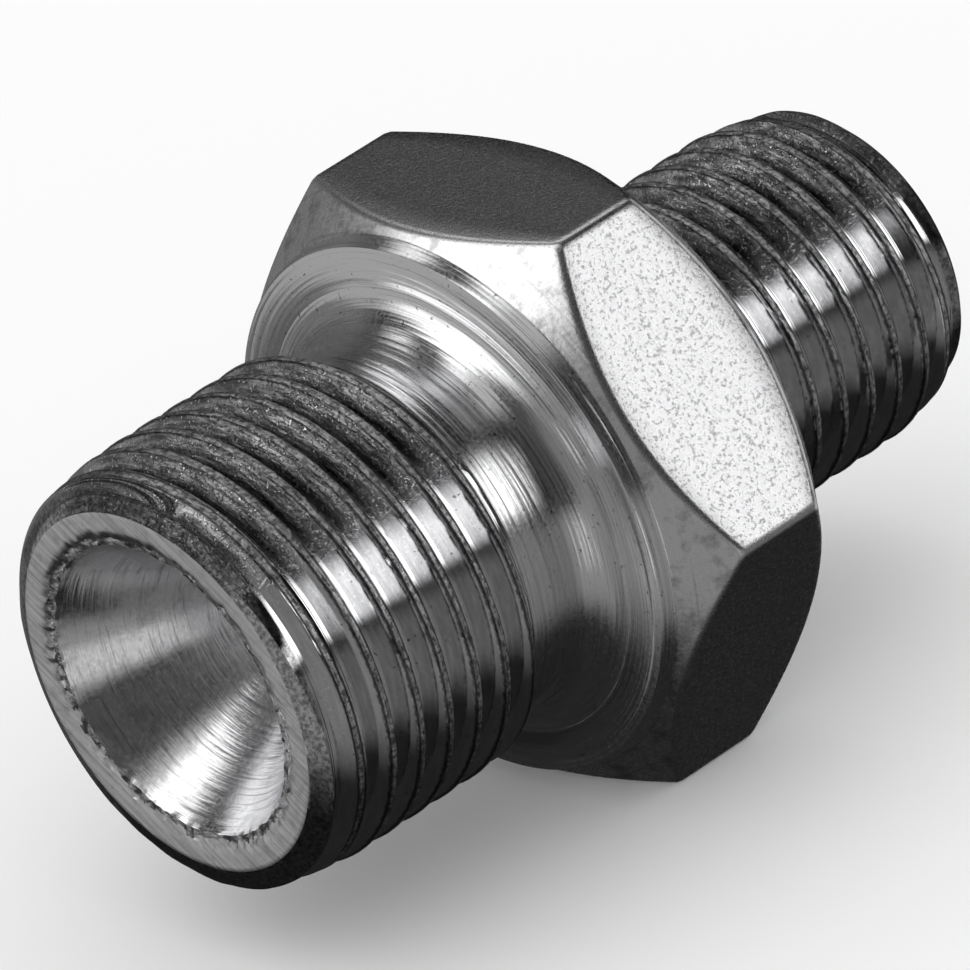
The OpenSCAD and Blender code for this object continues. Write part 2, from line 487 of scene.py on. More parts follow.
def torn(point, mouth_place, mouth_r, inward, sizes, finish):
    """A point near a cone's mouth, moved as the torn edge there."""
    across = Vector((0, point.y, point.z - axis_height()))
    near = 1 - min(1, abs(across.length - mouth_r - sizes.bevel_width / 2) / TEAR_REACH)
    near *= 1 - min(1, abs(point.x - mouth_place) / TEAR_REACH)
    if near <= 0:
        return point
    # The shifts keep the noises apart, and the seed moves each of them
    coarse = point / COARSE_TEAR + Vector((finish.seed * 3.7, 0, 0))
    fine = point / FINE_TEAR + Vector((0, finish.seed * 5.1, 0))
    other_coarse = coarse + Vector((9, 9, 9))
    other_fine = fine + Vector((5, 5, 5))
    outward = noise.noise(coarse) + FINE_STRENGTH * noise.noise(fine)
    down = abs(noise.noise(other_coarse)) + FINE_STRENGTH * abs(noise.noise(other_fine))
    moved = point + across.normalized() * (outward * near * finish.tear)
    moved.x += inward * down * near * finish.tear
    return moved


def is_torn(point, mouth_r, sizes, finish):
    """Whether the torn edge of a mouth, which is uneven in width, reaches a point."""
    radius = Vector((point.y, point.z - axis_height())).length
    flat = Vector((0, point.y, point.z))
    coarse = noise.noise(flat / COARSE_CHANGE_LENGTH + Vector((finish.seed * 2.3, 0, 0)))
    fine = noise.noise(flat / FINE_CHANGE_LENGTH + Vector((0, 0, finish.seed * 1.9)))
    width = TORN_WIDTH + COARSE_CHANGE * coarse + FINE_CHANGE * fine
    return radius < mouth_r + sizes.bevel_width * width


def add_strip(bm, outlines):
    """Adds the surface through one outline for each column, closed round the axis. Returns its points."""
    rows = len(outlines[0])
    points = [
        [bm.verts.new(on_part(place.x, place.y, column_angle(column))) for place, _ in outline]
        for column, outline in enumerate(outlines)
    ]
    for column in range(COLUMNS):
        here = points[column]
        beside = points[(column + 1) % COLUMNS]
        for row in range(rows - 1):
            face = bm.faces.new((here[row], beside[row], beside[row + 1], here[row + 1]))
            face.material_index = ZONES.index(outlines[0][row][1])
    return points


def tear_mouths(bm, points, sizes, large, small, finish):
    """Tears the edges of both mouths, and gives what lies outside the torn metal to the end faces."""
    low, high = CAD_BOX
    for column in points:
        for vertex in column[1:-1]:
            for end, mouth_place, inward in ((large, low.x, 1), (small, high.x, -1)):
                vertex.co = torn(vertex.co, mouth_place, end.mouth_d / 2, inward, sizes, finish)
    for face in bm.faces:
        if face.material_index == ZONES.index("torn_edge"):
            centre = face.calc_center_median()
            end = large if centre.x < 0 else small
            if not is_torn(centre, end.mouth_d / 2, sizes, finish):
                face.material_index = ZONES.index("end_face")


def thread_values(sizes, end, finish, end_place, direction):
    """The inputs of the thread's tree. The direction is 1 if the thread runs along X, and otherwise -1."""
    return {
        "End Place": end_place,
        "Axis Height": axis_height(),
        "Direction": direction,
        "Length": end.length,
        "Crest Radius": end.crest_d / 2,
        "Face Radius": end.face_d / 2,
        "Rim Radius": end.rim_d / 2,
        "Rim Length": end.rim_length,
        "Lead In": sizes.lead_in,
        "Foot Radius": thread_foot_r(sizes, end),
        "Crest Place": end.crest_place,
        "Pitch": sizes.pitch,
        "Depth": sizes.thread_depth,
        "Crest Width": sizes.crest_width,
        "Flank Width": sizes.thread_depth * math.tan(sizes.thread_angle / 2),
        "Edge Drop": finish.edge_drop,
        "Burr": finish.burr,
        "Burr Grain": finish.burr_grain,
        "Seed": float(finish.seed),
        "Turns": float(math.ceil(end.length / sizes.pitch) + 2 * SPARE_TURNS),
    }


def thread_tree(defaults, flank, crest):
    """The Geometry Nodes tree that winds one thread, with an input for each of its sizes."""
    tree = bpy.data.node_groups.new("Helical thread", "GeometryNodeTree")
    for name, value in defaults.items():
        tree.interface.new_socket(name, in_out="INPUT", socket_type="NodeSocketFloat").default_value = value
    tree.interface.new_socket("Geometry", in_out="OUTPUT", socket_type="NodeSocketGeometry")
    given = add_node(tree, "NodeGroupInput").outputs

    def calc(operation, *values):
        return calculate(tree, operation, *values)

    # A flat grid, one column for each step round the axis and TURN_ROWS rows for each turn of the helix
    all_rows = calc("MULTIPLY", given["Turns"], TURN_ROWS)
    grid = add_node(tree, "GeometryNodeMeshGrid", {
        "Size X": 1.0, "Size Y": 1.0, "Vertices X": COLUMNS + 1, "Vertices Y": calc("ADD", all_rows, 1.0),
    })
    position = add_node(tree, "GeometryNodeInputPosition").outputs[0]
    across = add_node(tree, "ShaderNodeSeparateXYZ", [position]).outputs
    even = calc("MULTIPLY", calc("ADD", across[0], 0.5), 2 * math.pi)
    crowd = calc("MULTIPLY", calc("SINE", calc("MULTIPLY", even, float(FLATS))), CORNER_CROWDING / FLATS)
    turn = calc("ADD", even, crowd)
    row = calc("ROUND", calc("MULTIPLY", calc("ADD", across[1], 0.5), all_rows))
    # A quarter of a row keeps rounding errors from moving a turn's first row to the turn before
    turns_before = calc("FLOOR", calc("DIVIDE", calc("ADD", row, 0.25), float(TURN_ROWS)))
    row_in_turn = calc("SUBTRACT", row, calc("MULTIPLY", turns_before, float(TURN_ROWS)))
    from_crest = calc("SUBTRACT", row_in_turn, TURN_ROWS / 2)
    steps = calc("ABSOLUTE", from_crest)

    # Half of the profile: how far each row lies from the crest's middle, and how far below it
    crest_end = float(CREST_ROWS)
    flank_end = float(CREST_ROWS + FLANK_ROWS)
    root_end = float(TURN_ROWS / 2)
    half_crest = calc("MULTIPLY", given["Crest Width"], 0.5)
    half_pitch = calc("MULTIPLY", given["Pitch"], 0.5)
    half_root = calc("SUBTRACT", half_pitch, calc("ADD", half_crest, given["Flank Width"]))
    # All rows of a flank but the last lie close to its crest, so that only this strip follows the burrs
    down_strip = map_range(tree, steps, crest_end, flank_end - 1.0, 0.0, BURR_STRIP)
    down_rest = map_range(tree, steps, flank_end - 1.0, flank_end, 0.0, 1.0 - BURR_STRIP)
    down_flank = calc("ADD", down_strip, down_rest)
    over_crest = map_range(tree, steps, 0.0, crest_end, 0.0, half_crest)
    over_flank = calc("MULTIPLY", down_flank, given["Flank Width"])
    over_root = map_range(tree, steps, flank_end, root_end, 0.0, half_root)
    reach = calc("ADD", calc("ADD", over_crest, over_flank), over_root)
    offset = calc("MULTIPLY", reach, calc("SIGN", from_crest))
    crest_fall = map_range(tree, steps, crest_end - 1.0, crest_end, 0.0, given["Edge Drop"])
    flank_fall = calc("MULTIPLY", down_flank, calc("SUBTRACT", given["Depth"], given["Edge Drop"]))
    fall = calc("ADD", crest_fall, flank_fall)

    # The helix, held inside the thread's length, its rim, its taper and its run-out
    wound = calc("MULTIPLY", given["Direction"], calc("DIVIDE", turn, 2 * math.pi))
    turns = calc("SUBTRACT", calc("ADD", turns_before, wound), float(SPARE_TURNS))
    crest_place = calc("ADD", given["Crest Place"], calc("MULTIPLY", given["Pitch"], turns))
    place = calc("MINIMUM", calc("MAXIMUM", calc("ADD", crest_place, offset), 0.0), given["Length"])
    rim_rise = calc("SUBTRACT", given["Rim Radius"], given["Face Radius"])
    rim_slope = calc("DIVIDE", rim_rise, given["Rim Length"])
    taper_rise = calc("SUBTRACT", given["Crest Radius"], given["Rim Radius"])
    taper_slope = calc("DIVIDE", taper_rise, calc("SUBTRACT", given["Lead In"], given["Rim Length"]))
    behind = calc("SUBTRACT", place, given["Rim Length"])
    rim = calc("ADD", given["Face Radius"], calc("MULTIPLY", place, rim_slope))
    taper = calc("ADD", given["Rim Radius"], calc("MULTIPLY", behind, taper_slope))
    run_out = calc("SUBTRACT", calc("ADD", given["Foot Radius"], given["Length"]), place)
    limit = calc("MINIMUM", calc("MINIMUM", rim, taper), run_out)
    raw_radius = calc("SUBTRACT", given["Crest Radius"], fall)
    radius = calc("MINIMUM", raw_radius, limit)

    # Where the burrs are, and how large
    is_crest = map_range(tree, steps, crest_end, crest_end + 1.0, 1.0, 0.0)
    rim_end = calc("MULTIPLY", given["Rim Length"], RIM_CLEARANCE)
    behind_rim = map_range(tree, place, rim_end, calc("ADD", rim_end, BURR_START), 0.0, 1.0)
    before_neck = map_range(tree, calc("SUBTRACT", run_out, raw_radius), 0.0, BURR_END, 0.0, 1.0)
    on_edge = map_range(tree, steps, 0.0, crest_end, MIDDLE_BURR, 1.0)
    inside_ends = calc("MULTIPLY", behind_rim, before_neck)
    burr_weight = calc("MULTIPLY", calc("MULTIPLY", is_crest, on_edge), inside_ends)
    burr = calc("MULTIPLY", given["Burr"], burr_weight)

    def wrapped(at_place, at_radius):
        return add_node(tree, "ShaderNodeCombineXYZ", [
            calc("ADD", given["End Place"], calc("MULTIPLY", at_place, given["Direction"])),
            calc("MULTIPLY", calc("MULTIPLY", calc("SINE", turn), at_radius), -1.0),
            calc("ADD", given["Axis Height"], calc("MULTIPLY", calc("COSINE", turn), at_radius)),
        ]).outputs[0]

    tears = add_node(tree, "ShaderNodeTexNoise", {
        "Vector": wrapped(place, radius), "W": given["Seed"],
        "Scale": calc("DIVIDE", 1.0, given["Burr Grain"]), "Detail": 3.0, "Roughness": 0.65,
    }, noise_dimensions="4D")
    tear = add_node(tree, "ShaderNodeSeparateXYZ", [tears.outputs["Color"]]).outputs
    lift = calc("MULTIPLY", calc("MULTIPLY", calc("SUBTRACT", tear[0], LEVEL_LIFT), BURR_LIFT), burr)
    slide = calc("MULTIPLY", calc("MULTIPLY", calc("SUBTRACT", tear[1], LEVEL_SLIDE), BURR_SLIDE), burr)
    final_radius = calc("MINIMUM", calc("ADD", radius, lift), given["Crest Radius"])
    final = wrapped(calc("ADD", place, slide), final_radius)

    # The crest attribute picks the material, and the materials read from_crest
    marked = add_node(tree, "GeometryNodeStoreNamedAttribute", {
        "Geometry": grid.outputs["Mesh"], "Name": "crest", "Value": calc("MULTIPLY", is_crest, behind_rim),
    }, data_type="FLOAT", domain="POINT")
    rim_mark = calc("MULTIPLY", calc("SUBTRACT", 1.0, behind_rim), RIM_MARK)
    measured = add_node(tree, "GeometryNodeStoreNamedAttribute", {
        "Geometry": marked.outputs[0], "Name": "from_crest",
        "Value": calc("ADD", calc("DIVIDE", offset, MM), rim_mark),
    }, data_type="FLOAT", domain="POINT")
    moved = add_node(tree, "GeometryNodeSetPosition", {"Geometry": measured.outputs[0], "Position": final})
    merged = add_node(tree, "GeometryNodeMergeByDistance", {
        "Geometry": moved.outputs[0], "Distance": MERGE_DISTANCE,
    })
    real = add_node(tree, "GeometryNodeRealizeInstances", {"Geometry": merged.outputs[0]})
    sides = add_node(tree, "GeometryNodeSetMaterial", {"Geometry": real.outputs[0], "Material": flank})
    crest_mark = add_node(tree, "GeometryNodeInputNamedAttribute", {"Name": "crest"}, data_type="FLOAT")
    on_crest = add_node(tree, "FunctionNodeCompare", {
        "A": crest_mark.outputs["Attribute"], "B": CREST_SHARE,
    }, data_type="FLOAT", operation="GREATER_THAN")
    crests = add_node(tree, "GeometryNodeSetMaterial", {
        "Geometry": sides.outputs[0], "Selection": on_crest.outputs[0], "Material": crest,
    })
    add_node(tree, "NodeGroupOutput", [crests.outputs[0]])
    return tree


def wind_thread(name, tree, values):
    """One thread's surface as a plain mesh."""
    carrier = bpy.data.objects.new(name, bpy.data.meshes.new(name))
    bpy.context.scene.collection.objects.link(carrier)
    modifier = carrier.modifiers.new("Helical thread", "NODES")
    modifier.node_group = tree
    for item in tree.interface.items_tree:
        if item.in_out == "INPUT":
            modifier[item.identifier] = values[item.name]
    evaluated = carrier.evaluated_get(bpy.context.evaluated_depsgraph_get())
    mesh = bpy.data.meshes.new_from_object(evaluated)
    carrier.modifiers.remove(modifier)
    bpy.data.objects.remove(carrier)
    return mesh


def add_threads(bm, low, high, sizes, large, small, finish, materials):
    """Adds the surfaces of both threads."""
    crest = materials[ZONES.index("crest")]
    large_values = thread_values(sizes, large, finish, low.x, 1.0)
    small_values = thread_values(sizes, small, finish, high.x, -1.0)
    tree = thread_tree(large_values, materials[ZONES.index("flank")], crest)
    for name, values in (("large_thread", large_values), ("small_thread", small_values)):
        mesh = wind_thread(name, tree, values)
        slots = list(mesh.materials)
        for polygon in mesh.polygons:
            zone = "crest" if slots[polygon.material_index] == crest else "flank"
            polygon.material_index = ZONES.index(zone)
        bm.from_mesh(mesh)
        bpy.data.meshes.remove(mesh)


def position_from_axis(tree):
    """A surface point's coordinates in millimetres, from the middle of the axis."""
    seen = add_node(tree, "ShaderNodeTexCoord").outputs["Object"]
    centred = add_node(tree, "ShaderNodeMapping", {"Vector": seen, "Location": (0, 0, -axis_height())})
    return scaled(tree, centred.outputs[0], 1 / MM)


class AxisSockets:
    """A surface point's coordinates, place along the axis and radius in millimetres, and its direction."""

    def __init__(self, tree):
        self.position = position_from_axis(tree)
        across = vector_math(tree, "MULTIPLY", self.position, (0, 1, 1))
        self.place = add_node(tree, "ShaderNodeSeparateXYZ", [self.position]).outputs[0]
        self.radius = vector_math(tree, "LENGTH", across)
        self.outward = vector_math(tree, "NORMALIZE", across)


def turning_noise(tree, axis, marks_per_mm, sweep, seed, detail=4.0):
    """Fine rings as a lathe tool leaves them, which fade in and out round the axis."""
    along = scaled(tree, axis.outward, sweep)
    ring = add_node(tree, "ShaderNodeCombineXYZ", [calculate(tree, "MULTIPLY", axis.place, marks_per_mm)])
    across = calculate(tree, "MULTIPLY", axis.radius, marks_per_mm)
    return add_node(tree, "ShaderNodeTexNoise", {
        "Vector": vector_math(tree, "ADD", along, ring.outputs[0]),
        "W": calculate(tree, "ADD", across, float(seed)),
        "Scale": 1.0, "Detail": detail, "Roughness": 0.6,
    }, noise_dimensions="4D").outputs[0]


def spot_noise(tree, position, spots_per_mm, detail=3.0, rough=0.55, stretch=(1, 1, 1), turn=0.0):
    """Uneven spots of about one size. They can be stretched, and turned about the axis."""
    turned = add_node(tree, "ShaderNodeMapping", {
        "Vector": position, "Rotation": (turn, 0, 0), "Scale": stretch,
    }, vector_type="TEXTURE")
    return add_node(tree, "ShaderNodeTexNoise", {
        "Vector": turned.outputs[0], "Scale": spots_per_mm, "Detail": detail, "Roughness": rough,
    }, noise_dimensions="3D").outputs[0]


def helix_sockets(tree):
    """Distance from the middle of the nearest crest, with and without its sign, in millimetres."""
    signed = add_node(tree, "ShaderNodeAttribute", attribute_name="from_crest").outputs["Fac"]
    return signed, calculate(tree, "ABSOLUTE", signed)


def helix_noise(tree, signed, axis, across_per_mm, along_per_mm, seed, detail=3.0):
    """Streaks that follow the helix of a thread."""
    across = calculate(tree, "MULTIPLY", signed, across_per_mm)
    shifted = calculate(tree, "ADD", across, calculate(tree, "MULTIPLY", axis.place, STREAK_CHANGE))
    return add_node(tree, "ShaderNodeTexNoise", {
        "Vector": scaled(tree, axis.outward, STREAK_RADIUS * along_per_mm),
        "W": calculate(tree, "ADD", shifted, float(seed)),
        "Scale": 1.0, "Detail": detail, "Roughness": 0.6,
    }, noise_dimensions="4D").outputs[0]


def torn_side(tree, outward):
    """1 on the side of the threads that the tool has torn, near the top, and 0 on the smooth side."""
    middle = math.radians(TORN_MIDDLE)
    near = vector_math(tree, "DOT_PRODUCT", outward, (0, -math.sin(middle), math.cos(middle)))
    not_torn = math.cos(math.radians(NOT_TORN))
    fully_torn = math.cos(math.radians(FULLY_TORN))
    return map_range(tree, near, not_torn, fully_torn, 0.0, 1.0, smooth=True)


def by_side(tree, side, on_smooth, on_torn):
    """A value that goes from one on the threads' smooth side to another on their torn side."""
    return map_range(tree, side, 0.0, 1.0, on_smooth, on_torn)


def bump(tree, height, depth_mm, strength=1.0, under=None):
    """A bump of a depth in millimetres for heights from 0 to 1."""
    return add_node(tree, "ShaderNodeBump", {
        "Height": height, "Distance": depth_mm * MM, "Strength": strength, "Normal": under,
    }).outputs[0]


def new_steel(name, finish):
    """A plated steel material. Returns the material, its tree and its shader."""
    material = bpy.data.materials.new(name)
    material.use_nodes = True
    material.diffuse_color = (*finish.steel, 1)
    shader = material.node_tree.nodes["Principled BSDF"]
    shader.inputs["Metallic"].default_value = 1
    return material, material.node_tree, shader


def dress(tree, shader, finish, normal, roughness, *shades):
    """Sets a steel's relief, its roughness, and its colour made darker by each shade from 0 to 1."""
    colour = finish.steel
    for shade in shades:
        colour = scaled(tree, colour, shade)
    plug(tree, shader, "Base Color", colour)
    plug(tree, shader, "Roughness", roughness)
    plug(tree, shader, "Normal", normal)


def turned_steel(finish):
    """Necks, fillets, turned faces and bore, with coarse and fine rings whose sides lean outwards, and
    painted shade in the grooves of the fine rings.
    """
    material, tree, shader = new_steel("turned_steel", finish)
    axis = AxisSockets(tree)
    coarse = turning_noise(tree, axis, marks_per_mm=3.6, sweep=0.7, seed=finish.seed, detail=1.0)
    fine = turning_noise(tree, axis, marks_per_mm=11.0, sweep=1.5, seed=finish.seed + 1, detail=3.0)
    spots = spot_noise(tree, axis.position, 7.0)
    specks = spot_noise(tree, axis.position, 5.0, detail=2.0)
    on_face = calculate(tree, "MAXIMUM", axis.radius, LEAN_RADIUS)
    on_fillet = calculate(tree, "MINIMUM", axis.radius, LEAN_RADIUS)
    face_slope = calculate(tree, "MULTIPLY_ADD", on_face, FACE_LEAN_FALL / 2, -FACE_LEAN)
    face_height = calculate(tree, "MULTIPLY", on_face, face_slope)
    normal = bump(tree, calculate(tree, "MULTIPLY_ADD", on_fillet, -FILLET_LEAN, face_height), 1.0)
    normal = bump(tree, coarse, 0.05, under=normal)
    normal = bump(tree, fine, 0.012, under=normal)
    normal = bump(tree, spots, 0.003, under=normal)
    # Painted shade: the grooves of the fine rings are drawn darker
    painted_groove_shade = map_range(tree, fine, 0.3, 0.45, 0.6, 1.0)
    speck_shade = map_range(tree, specks, 0.27, 0.32, 0.3, 1.0)
    roughness = map_range(tree, spots, 0.3, 0.7, 0.14, 0.26)
    dress(tree, shader, finish, normal, roughness, painted_groove_shade, speck_shade)
    return material


def chamfer_steel(finish):
    """Turned-off corners of the hexagon, mottled by the plating, with painted shade in the grooves of their
    turning rings.
    """
    material, tree, shader = new_steel("chamfer_steel", finish)
    axis = AxisSockets(tree)
    rings = turning_noise(tree, axis, marks_per_mm=5.0, sweep=1.6, seed=finish.seed + 2)
    spots = spot_noise(tree, axis.position, 5.0)
    patches = spot_noise(tree, axis.position, 0.9, detail=5.0, rough=0.65)
    normal = bump(tree, rings, 0.014)
    normal = bump(tree, spots, 0.006, under=normal)
    patch_shade = map_range(tree, patches, 0.36, 0.5, 0.6, 1.0)
    # Painted shade: the grooves of the rings are drawn darker
    painted_groove_shade = map_range(tree, rings, 0.32, 0.42, 0.75, 1.0)
    roughness = map_range(tree, spots, 0.3, 0.7, 0.18, 0.32)
    dress(tree, shader, finish, normal, roughness, patch_shade, painted_groove_shade)
    return material


def flat_steel(finish):
    """Drawn flats of the hexagon, with fine dark pits."""
    material, tree, shader = new_steel("flat_steel", finish)
    position = position_from_axis(tree)
    grain = spot_noise(tree, position, 6.0, detail=4.0, rough=0.7)
    pits = map_range(tree, spot_noise(tree, position, 6.0, detail=4.0, rough=0.75), 0.32, 0.46, 0.0, 1.0)
    normal = bump(tree, grain, 0.007)
    normal = bump(tree, pits, 0.0025, under=normal)
    roughness = map_range(tree, grain, 0.3, 0.7, 0.2, 0.32)
    dress(tree, shader, finish, normal, roughness, map_range(tree, pits, 0.0, 1.0, 0.48, 0.76))
    return material


def face_steel(finish):
    """End faces, filed in one direction."""
    material, tree, shader = new_steel("face_steel", finish)
    position = position_from_axis(tree)
    scratches = spot_noise(
        tree, position, 7.0, detail=2.0, rough=0.5, stretch=(1, 30, 1), turn=math.radians(FILED),
    )
    spots = spot_noise(tree, position, 3.0)
    scratch_shade = map_range(tree, scratches, 0.3, 0.65, 0.6, 1.0)
    spot_shade = map_range(tree, spots, 0.3, 0.5, 0.8, 1.0)
    dress(tree, shader, finish, bump(tree, scratches, 0.016), 0.28, scratch_shade, spot_shade)
    return material


def torn_steel(finish):
    """Ragged metal round the mouths of the cones."""
    material, tree, shader = new_steel("torn_steel", finish)
    spots = spot_noise(tree, position_from_axis(tree), 2.6, detail=5.0, rough=0.65)
    spot_shade = map_range(tree, spots, 0.4, 0.66, 0.12, 1.0)
    dress(tree, shader, finish, bump(tree, spots, 0.25), 0.35, spot_shade)
    return material


def cone_steel(finish):
    """Sealing cones, with deeper rings, painted shade in their grooves, and rubbed bands."""
    material, tree, shader = new_steel("cone_steel", finish)
    axis = AxisSockets(tree)
    coarse = turning_noise(tree, axis, marks_per_mm=2.6, sweep=1.0, seed=finish.seed + 5, detail=2.0)
    fine = turning_noise(tree, axis, marks_per_mm=8.0, sweep=2.0, seed=finish.seed + 6)
    spots = spot_noise(tree, axis.position, 6.0)
    scuffs = spot_noise(tree, axis.position, 1.1, detail=5.0, rough=0.7)
    normal = bump(tree, coarse, 0.018)
    normal = bump(tree, fine, 0.014, under=normal)
    normal = bump(tree, spots, 0.002, under=normal)
    # Painted shade: the grooves of the fine rings are drawn darker
    painted_groove_shade = map_range(tree, fine, 0.34, 0.46, 0.6, 1.0)
    scuff_shade = map_range(tree, scuffs, 0.35, 0.5, 0.8, 1.0)
    roughness = map_range(tree, spots, 0.3, 0.7, 0.13, 0.25)
    dress(tree, shader, finish, normal, roughness, painted_groove_shade, scuff_shade)
    return material


def flank_steel(finish):
    """Sides of the threads: smooth, but streaky where the tool has torn them, with a painted dark shadow
    line beside the crests.
    """
    material, tree, shader = new_steel("flank_steel", finish)
    axis = AxisSockets(tree)
    signed, distance = helix_sockets(tree)
    side = torn_side(tree, axis.outward)
    streaks = helix_noise(
        tree, signed, axis, across_per_mm=7.0, along_per_mm=0.7, seed=finish.seed + 7, detail=4.0,
    )
    spots = spot_noise(tree, axis.position, 5.0, detail=4.0, rough=0.65)
    specks = spot_noise(tree, axis.position, 4.0, detail=2.0)
    glints = map_range(tree, spot_noise(tree, axis.position, 7.0, detail=2.0), 0.55, 0.65, 0.0, 1.0)
    relief = by_side(tree, side, 0.02, 1.0)
    normal = bump(tree, streaks, 0.05, strength=relief)
    normal = bump(tree, spots, 0.03, strength=relief, under=normal)
    normal = bump(tree, glints, 0.09, strength=side, under=normal)
    polish = map_range(tree, spots, 0.35, 0.7, 0.07, 0.12)
    roughness = calculate(tree, "ADD", polish, by_side(tree, side, 0.0, 0.2))
    # Streaks, and glints that stand out of them
    streak_shade = map_range(
        tree, streaks, 0.43, 0.68, by_side(tree, side, 0.8, 0.15), by_side(tree, side, 1.0, 0.7),
    )
    torn_shade = calculate(tree, "MAXIMUM", streak_shade, glints)
    # Painted shadow: the dark line beside a crest, whose edge is ragged
    ragged = calculate(tree, "ADD", distance, calculate(tree, "MULTIPLY", spots, -0.12))
    painted_edge_shade = map_range(tree, ragged, 0.12, 0.16, 0.2, 1.0)
    # Painted shade in the roots on the torn side, which ends where the rim begins
    painted_root_shade = map_range(tree, distance, 0.42, 0.6, 1.0, by_side(tree, side, 1.0, 0.2))
    painted_root_shade = calculate(tree, "MAXIMUM", painted_root_shade, map_range(tree, distance, 0.8, 1.5, 0.0, 1.0))
    rim_spots = map_range(tree, spots, 0.38, 0.62, 0.25, 0.75)
    rim_shade = map_range(tree, distance, 1.0, 4.0, 1.0, rim_spots)
    speck_shade = map_range(tree, specks, 0.25, 0.29, 0.3, 1.0)
    dress(
        tree, shader, finish, normal, roughness,
        painted_edge_shade, torn_shade, speck_shade, rim_shade, painted_root_shade,
    )
    return material


def crest_steel(finish):
    """Rough, burred crests of the threads, with painted shade along their edges."""
    material, tree, shader = new_steel("crest_steel", finish)
    axis = AxisSockets(tree)
    signed, distance = helix_sockets(tree)
    side = torn_side(tree, axis.outward)
    spots = spot_noise(tree, axis.position, 5.0, detail=4.0, rough=0.7)
    streaks = helix_noise(tree, signed, axis, across_per_mm=9.0, along_per_mm=1.2, seed=finish.seed + 9)
    ragged = calculate(tree, "ADD", distance, calculate(tree, "MULTIPLY", spots, 0.1))
    normal = bump(tree, spots, 0.05, strength=by_side(tree, side, 0.7, 1.5))
    normal = bump(tree, streaks, 0.03, under=normal)
    # Painted shade: the crest's edges are drawn darker, more so on the smooth side
    painted_edge_shade = map_range(tree, ragged, 0.13, 0.17, 1.0, by_side(tree, side, 0.2, 0.7))
    streak_shade = map_range(tree, streaks, 0.35, 0.6, 0.35, 1.0)
    spot_shade = map_range(tree, spots, 0.42, 0.55, 0.3, 1.0)
    dress(tree, shader, finish, normal, 0.3, painted_edge_shade, streak_shade, spot_shade)
    return material


def zone_materials(finish):
    """One material for each zone, in the order of ZONES."""
    turned = turned_steel(finish)
    return [
        turned, chamfer_steel(finish), flat_steel(finish), face_steel(finish), torn_steel(finish),
        cone_steel(finish), turned, flank_steel(finish), crest_steel(finish),
    ]


class HOSE_OT_body(bpy.types.Operator):
    """Build the connector's body: threads, necks, hexagon, cones and bore as one closed surface"""

    bl_idname = "hose_connector.body"
    bl_label = "Build body"

    def execute(self, context):
        scene = context.scene
        sizes = scene.connector_sizes
        large = scene.connector_large_end
        small = scene.connector_small_end
        finish = scene.connector_finish
        low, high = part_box("body")
        overall_length = high.x - low.x
        across_flats = high.z - low.z
        materials = zone_materials(finish)
        bm = bmesh.new()
        add_strip(bm, [
            outside_outline(sizes, large, small, overall_length, across_flats, column_angle(column))
            for column in range(COLUMNS)
        ])
        points = add_strip(bm, [inside_outline(sizes, large, small, overall_length)] * COLUMNS)
        tear_mouths(bm, points, sizes, large, small, finish)
        add_threads(bm, low, high, sizes, large, small, finish, materials)
        bmesh.ops.remove_doubles(bm, verts=bm.verts, dist=MERGE_DISTANCE)
        bmesh.ops.recalc_face_normals(bm, faces=bm.faces)
        loose = [edge for edge in bm.edges if len(edge.link_faces) != 2]
        fail_unless(not loose, f"the body's surface is open at {len(loose)} edges")
        mesh = bpy.data.meshes.new("connector_body")
        bm.to_mesh(mesh)
        bm.free()
        for material in materials:
            mesh.materials.append(material)
        mesh.shade_smooth()
        mesh.set_sharp_from_angle(angle=math.radians(SHARP_ANGLE))
        body = bpy.data.objects.new("connector_body", mesh)
        scene.collection.objects.link(body)
        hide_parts("body")
        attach(body, "root")
        return {"FINISHED"}


def add_floor():
    """A plain pale floor, which the metal's reflections leave out."""
    mesh = bpy.data.meshes.new("floor")
    corners = [(x * FLOOR_HALF, y * FLOOR_HALF, 0) for x, y in ((-1, -1), (1, -1), (1, 1), (-1, 1))]
    mesh.from_pydata(corners, [], [(0, 1, 2, 3)])
    material = bpy.data.materials.new("pale_floor")
    material.use_nodes = True
    shader = material.node_tree.nodes["Principled BSDF"]
    shader.inputs["Base Color"].default_value = (0.98, 0.98, 0.98, 1)
    shader.inputs["Roughness"].default_value = 1.0
    shader.inputs["Specular IOR Level"].default_value = 0
    mesh.materials.append(material)
    floor = bpy.data.objects.new("floor", mesh)
    bpy.context.scene.collection.objects.link(floor)
    floor.visible_glossy = False


def panel_glow(tree, azimuth, elevation, panel):
    """Brightness of one of the tent's panels in a direction."""
    middle, half_width, lowest, highest, soft, soft_top, brightness = panel
    turned = calculate(tree, "WRAP", calculate(tree, "SUBTRACT", azimuth, float(middle)), 180.0, -180.0)
    beside = calculate(tree, "ABSOLUTE", turned)
    across = map_range(tree, beside, half_width + soft, half_width - soft, 0.0, 1.0, smooth=True)
    above = map_range(tree, elevation, lowest - soft, lowest + soft, 0.0, brightness, smooth=True)
    below = map_range(tree, elevation, highest + soft_top, highest - soft_top, 0.0, 1.0, smooth=True)
    return calculate(tree, "MULTIPLY", calculate(tree, "MULTIPLY", across, above), below)


